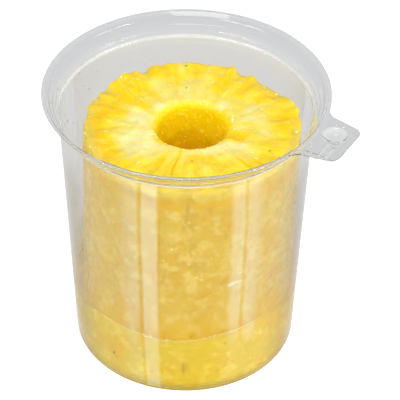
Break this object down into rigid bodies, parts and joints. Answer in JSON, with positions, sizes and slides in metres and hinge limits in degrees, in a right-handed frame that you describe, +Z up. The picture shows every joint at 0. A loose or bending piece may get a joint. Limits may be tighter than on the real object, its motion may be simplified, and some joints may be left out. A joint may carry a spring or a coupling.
{
  "type": "cored pineapple in a clear tub",
  "caption": "Peeled and cored whole pineapple cylinder standing in its juice in an open clear plastic tub with a flared rim and an opening tab.",
  "frame": {"origin": "centre of the tub's flat base, on the surface it stands on", "axes": "+Z up out of the tub's mouth, the opening tab points 30 degrees from +X towards -Y"},
  "size_m": [0.1387, 0.128, 0.1353],
  "materials": {
    "clear_plastic": "thin clear PET, thermoformed, glossy",
    "pineapple_flesh": "wet fibrous fruit flesh, vivid yellow with cream fibres",
    "pineapple_juice": "clear to cloudy yellow juice"
  },
  "bodies": {
    "root": {"tub": "clear_plastic", "pineapple": "pineapple_flesh", "juice": "pineapple_juice"}
  },
  "joints": []
}
